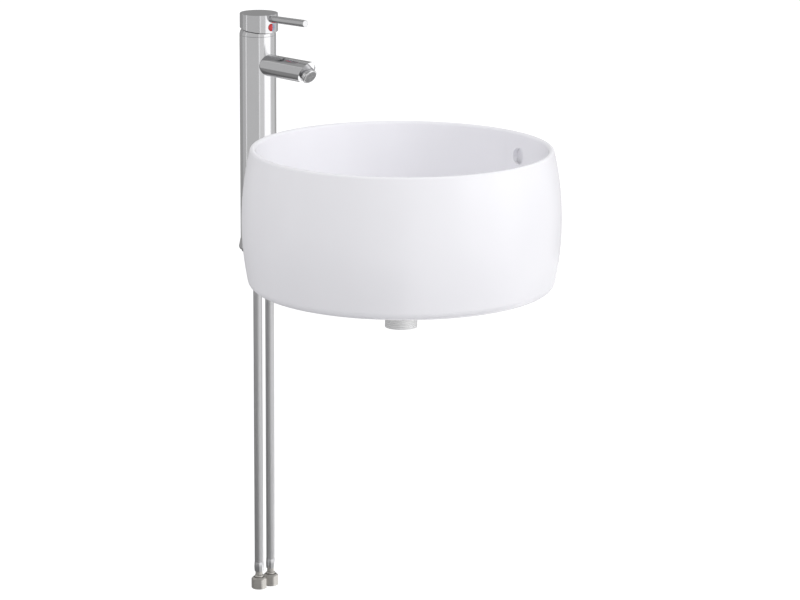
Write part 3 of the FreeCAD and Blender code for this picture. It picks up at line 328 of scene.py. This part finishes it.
# Index button: a red half for hot and a blue half for cold
index = {"hot": (0.68, 0.025, 0.03), "cold": (0.30, 0.40, 0.56), "line": 0.0002, "roughness": 0.22, "coat": 0.1,
         "scale": 400.0, "height": 0.000004}


def makeIndexMaterial():
    material, tree, shader = newMaterial("indexEnamel", index["hot"], index["roughness"], coat=index["coat"])
    place = addNode(tree, "TexCoord")
    split = addNode(tree, "SeparateXYZ")
    tree.links.new(place.outputs["Object"], split.inputs[0])
    half = remap(tree, split.outputs["X"], -index["line"], index["line"], 0.0, 1.0)
    tree.links.new(mixColours(tree, half, index["hot"], index["cold"]), shader.inputs["Base Color"])
    surface = addNode(tree, "Group", node_tree=unevenSurface)
    fill(surface, Scale=index["scale"], Height=index["height"])
    tree.links.new(surface.outputs["Normal"], shader.inputs["Normal"])
    return material


materials["indexEnamel"] = makeIndexMaterial()

finishes = {
    "ceramic": "whiteGlaze", "chrome": "polishedChrome", "handle_chrome": "handleChrome", "nickel": "satinNickel",
    "brass": "turnedBrass", "steel": "zincSteel", "ferrule": "pressedSteel", "copper": "drawnCopper",
    "rubber": "blackRubber", "hose_liner": "hoseLining", "white_plastic": "whitePlastic",
    "grey_plastic": "greyPlastic", "mesh_plastic": "meshPlastic", "disc_ceramic": "discCeramic",
    "index": "indexEnamel",
}
ownFinishes = {"waste_body": "wasteChrome"}


def dressNodes():
    for part in frame["record"]["subparts"]:
        piece = nodes[part["node"]]
        finish = ownFinishes.get(part["node"], finishes.get(part["material_slot"]))
        if finish:
            piece.data.materials.clear()
            piece.data.materials.append(materials[finish])


dressNodes()
print("materials ready")

# Aerator insert with an open mesh face, in the slanted end of the spout
aerator = {"tilt": 31.0, "reach": 0.0987, "height": 0.2547, "drop": 0.0022, "face": 0.0072, "radius": 0.00905,
           "throat": 0.00825, "step": 0.0, "back": -0.0075, "cell": 0.00125, "wire": 0.00034, "cup": 0.0006,
           "netTurn": 45.0, "netMargin": 0.4, "segments": 64, "sharp": 30.0}


def spinProfile(mesh, profile, segments):
    # Turns a profile of (radius, height) points round the Z axis
    points = [mesh.verts.new((radius, 0.0, height)) for radius, height in profile]
    edges = [mesh.edges.new(pair) for pair in zip(points, points[1:])]
    bmesh.ops.spin(mesh, geom=points + edges, cent=(0.0, 0.0, 0.0), axis=(0.0, 0.0, 1.0), angle=2 * math.pi,
                   steps=segments, use_merge=True)
    bmesh.ops.remove_doubles(mesh, verts=mesh.verts, dist=1e-7)
    bmesh.ops.recalc_face_normals(mesh, faces=mesh.faces)


def finishPiece(name, mesh, body, material, replaced):
    data = bpy.data.meshes.new(name)
    mesh.to_mesh(data)
    mesh.free()
    data.shade_smooth()
    data.set_sharp_from_angle(angle=math.radians(aerator["sharp"]))
    data.materials.append(material)
    piece = bpy.data.objects.new(name, data)
    bpy.context.scene.collection.objects.link(piece)
    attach(piece, body)
    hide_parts(*replaced)


def makeAeratorMesh():
    mesh = bmesh.new()
    face, radius = aerator["face"], aerator["radius"]
    cup, reach = face - aerator["cup"], radius - aerator["wire"] * 2
    spinProfile(mesh, [(0.0, aerator["back"]), (aerator["throat"], aerator["back"]),
                       (aerator["throat"], aerator["step"]), (radius, aerator["step"]), (radius, face),
                       (reach, face), (reach, cup), (0.0, cup)], aerator["segments"])
    net = bmesh.new()
    cells = round(2 * radius / aerator["cell"])
    bmesh.ops.create_grid(net, x_segments=cells, y_segments=cells, size=radius)
    bmesh.ops.rotate(net, verts=net.verts, cent=(0.0, 0.0, 0.0),
                     matrix=Matrix.Rotation(math.radians(aerator["netTurn"]), 3, "Z"))
    limit = reach - aerator["cell"] * aerator["netMargin"]
    outside = [item for item in net.faces if item.calc_center_median().length > limit]
    bmesh.ops.delete(net, geom=outside, context="FACES")
    bmesh.ops.wireframe(net, faces=net.faces, thickness=aerator["wire"], use_even_offset=True, use_replace=True,
                        use_boundary=True)
    bmesh.ops.translate(net, verts=net.verts, vec=(0.0, 0.0, face - aerator["wire"]))
    part = bpy.data.meshes.new("net")
    net.to_mesh(part)
    net.free()
    mesh.from_mesh(part)
    bpy.data.meshes.remove(part)
    tilt = math.radians(aerator["tilt"])
    centre = Vector((0.0, tapAxis.y - aerator["reach"] + math.sin(tilt) * aerator["drop"],
                     aerator["height"] - math.cos(tilt) * aerator["drop"]))
    turn = Matrix.Rotation(tilt + math.pi / 2, 4, "X")
    bmesh.ops.transform(mesh, matrix=Matrix.Translation(centre) @ turn, verts=mesh.verts)
    finishPiece("aeratorMesh", mesh, "fixed", materials["meshPlastic"], ["aerator_insert"])


makeAeratorMesh()
print("aerator ready")

# Studio: pale floor and backdrop, soft lamps, and cards that only metal and glaze reflect
studio = {"floorHeight": -0.85, "floorSize": 40.0, "ambient": 0.925, "ambientTint": (1.0, 1.0, 1.0),
          "floorColour": (0.57, 0.57, 0.58), "floorRoughness": 0.9, "floorGlow": 0.55, "cardSteps": 12}
# A card runs from one side to another, in degrees from the camera to its right, and between two rims, each a
# distance from the middle and a height in metres
cards = {
    "farLeft": {"sides": (-143.0, -112.0), "rims": ((3.0, -0.72), (3.0, 2.0)), "tone": 0.42},
    "left": {"sides": (-112.0, -82.5), "rims": ((3.0, -0.78), (3.0, 2.0)), "tone": 0.60},
    "frontLeft": {"sides": (-76.5, 6.0), "rims": ((3.0, -0.78), (3.0, 2.0)), "tone": 0.66},
    "frontRight": {"sides": (13.0, 40.0), "rims": ((3.0, -0.78), (3.0, 2.0)), "tone": 0.86},
    "softbox": {"sides": (44.0, 88.0), "rims": ((3.0, -0.84), (3.0, 1.5)), "tone": 1.55},
    "farRight": {"sides": (95.0, 134.0), "rims": ((3.0, -0.72), (3.0, 2.0)), "tone": 0.78},
    "behindRight": {"sides": (134.0, 172.0), "rims": ((3.0, -0.72), (3.0, 2.0)), "tone": 0.50},
    "behind": {"sides": (172.0, 217.0), "rims": ((3.0, -0.72), (3.0, 2.0)), "tone": 0.34},
    "above": {"sides": (0.0, 360.0), "rims": ((0.0, 2.4), (3.0, 2.1)), "tone": 0.42},
    "underLeft": {"sides": (-180.0, 5.0), "rims": ((0.0, -0.83), (1.45, -0.83)), "tone": 0.22},
    "belowLeft": {"sides": (-180.0, 5.0), "rims": ((1.45, -0.83), (4.5, -0.83)), "tone": 0.30},
    "underRight": {"sides": (5.0, 100.0), "rims": ((0.0, -0.83), (1.45, -0.83)), "tone": 0.60},
    "underBehind": {"sides": (100.0, 180.0), "rims": ((0.0, -0.83), (1.45, -0.83)), "tone": 1.6},
    "belowRight": {"sides": (5.0, 180.0), "rims": ((1.45, -0.83), (4.5, -0.83)), "tone": 1.0},
}
lamps = {
    "key": {"side": 62.0, "rise": 18.5, "distance": 2.6, "size": (1.9, 1.7), "power": 17.2},
}
middle = Vector((0.0, 0.14, 0.0))


def makeWorld():
    world = bpy.data.worlds.new("studio")
    bpy.context.scene.world = world
    world.use_nodes = True
    tree = world.node_tree
    tree.nodes.clear()
    output = tree.nodes.new("ShaderNodeOutputWorld")
    soft = tree.nodes.new("ShaderNodeBackground")
    soft.inputs["Color"].default_value = (*studio["ambientTint"], 1.0)
    soft.inputs["Strength"].default_value = studio["ambient"]
    white = tree.nodes.new("ShaderNodeBackground")
    white.inputs["Color"].default_value = (1.0, 1.0, 1.0, 1.0)
    mix = tree.nodes.new("ShaderNodeMixShader")
    tree.links.new(seenDirectly(tree), mix.inputs[0])
    tree.links.new(soft.outputs[0], mix.inputs[1])
    tree.links.new(white.outputs[0], mix.inputs[2])
    tree.links.new(mix.outputs[0], output.inputs["Surface"])


def seenDirectly(tree):
    # 1 for the camera's own rays and those that metal and glass pass on
    rays = addNode(tree, "LightPath")
    return mathNode(tree, "MAXIMUM", rays.outputs["Is Camera Ray"],
                    mathNode(tree, "MAXIMUM", rays.outputs["Is Glossy Ray"], rays.outputs["Is Transmission Ray"]))


def makeSheet(name, size, place):
    mesh = bpy.data.meshes.new(name)
    sheet = bmesh.new()
    bmesh.ops.create_grid(sheet, x_segments=1, y_segments=1, size=0.5)
    bmesh.ops.scale(sheet, verts=sheet.verts, vec=(*size, 1.0))
    bmesh.ops.transform(sheet, verts=sheet.verts, matrix=place)
    sheet.to_mesh(mesh)
    sheet.free()
    piece = bpy.data.objects.new(name, mesh)
    bpy.context.scene.collection.objects.link(piece)
    return piece


def makeFloor():
    floor = makeSheet("floor", (studio["floorSize"],) * 2, Matrix.Translation((0.0, 0.0, studio["floorHeight"])))
    material, tree, shader = newMaterial("paleFloor", studio["floorColour"], studio["floorRoughness"])
    glow = addNode(tree, "Emission")
    tree.links.new(mathNode(tree, "MULTIPLY", seenDirectly(tree), studio["floorGlow"]), glow.inputs["Strength"])
    both = addNode(tree, "AddShader")
    tree.links.new(shader.outputs[0], both.inputs[0])
    tree.links.new(glow.outputs[0], both.inputs[1])
    clear = addNode(tree, "BsdfTransparent")
    side = addNode(tree, "NewGeometry")
    mix = addNode(tree, "MixShader")
    tree.links.new(side.outputs["Backfacing"], mix.inputs[0])
    tree.links.new(both.outputs[0], mix.inputs[1])
    tree.links.new(clear.outputs[0], mix.inputs[2])
    tree.links.new(mix.outputs[0], tree.nodes["Material Output"].inputs["Surface"])
    floor.data.materials.append(material)


def makeCard(name, card):
    mesh = bpy.data.meshes.new(name + "Card")
    sheet = bmesh.new()
    rims = [sheet.verts.new((0.0, -distance, height)) for distance, height in card["rims"]]
    line = sheet.edges.new(rims)
    first, last = (math.radians(camera["turn"] + side) for side in card["sides"])
    bmesh.ops.rotate(sheet, verts=rims, cent=(0.0, 0.0, 0.0), matrix=Matrix.Rotation(first, 3, "Z"))
    bmesh.ops.spin(sheet, geom=rims + [line], cent=(0.0, 0.0, 0.0), axis=(0.0, 0.0, 1.0), angle=last - first,
                   steps=round((last - first) * studio["cardSteps"]))
    bmesh.ops.remove_doubles(sheet, verts=sheet.verts, dist=1e-5)
    bmesh.ops.translate(sheet, verts=sheet.verts, vec=middle)
    sheet.to_mesh(mesh)
    sheet.free()
    piece = bpy.data.objects.new(name + "Card", mesh)
    bpy.context.scene.collection.objects.link(piece)
    material = bpy.data.materials.new(name + "Card")
    material.use_nodes = True
    tree = material.node_tree
    tree.nodes.remove(tree.nodes["Principled BSDF"])
    glow = addNode(tree, "Emission")
    fill(glow, Strength=card["tone"])
    tree.links.new(glow.outputs[0], tree.nodes["Material Output"].inputs["Surface"])
    mesh.materials.append(material)
    for ray in ("camera", "diffuse", "transmission", "volume_scatter", "shadow"):
        setattr(piece, "visible_" + ray, False)


def makeLamp(name, lamp):
    # A lamp faces the middle, and the cards stand in for it in reflections
    data = bpy.data.lights.new(name, "AREA")
    data.shape = "RECTANGLE"
    data.size, data.size_y = lamp["size"]
    data.energy = lamp["power"]
    turn, lift = math.radians(camera["turn"] + lamp["side"]), math.radians(lamp["rise"])
    outward = Vector((math.sin(turn) * math.cos(lift), -math.cos(turn) * math.cos(lift), math.sin(lift)))
    piece = bpy.data.objects.new(name, data)
    piece.location = middle + outward * lamp["distance"]
    piece.rotation_euler = (-outward).to_track_quat("-Z", "Y").to_euler()
    piece.visible_glossy = False
    bpy.context.scene.collection.objects.link(piece)


makeWorld()
makeFloor()
for name, card in cards.items():
    makeCard(name, card)
for name, lamp in lamps.items():
    makeLamp(name, lamp)
nodes["basin"].visible_glossy = False   # the photograph's chrome doesn't mirror the bowl
print("studio ready")

bpy.context.scene.view_settings.view_transform = "Standard"
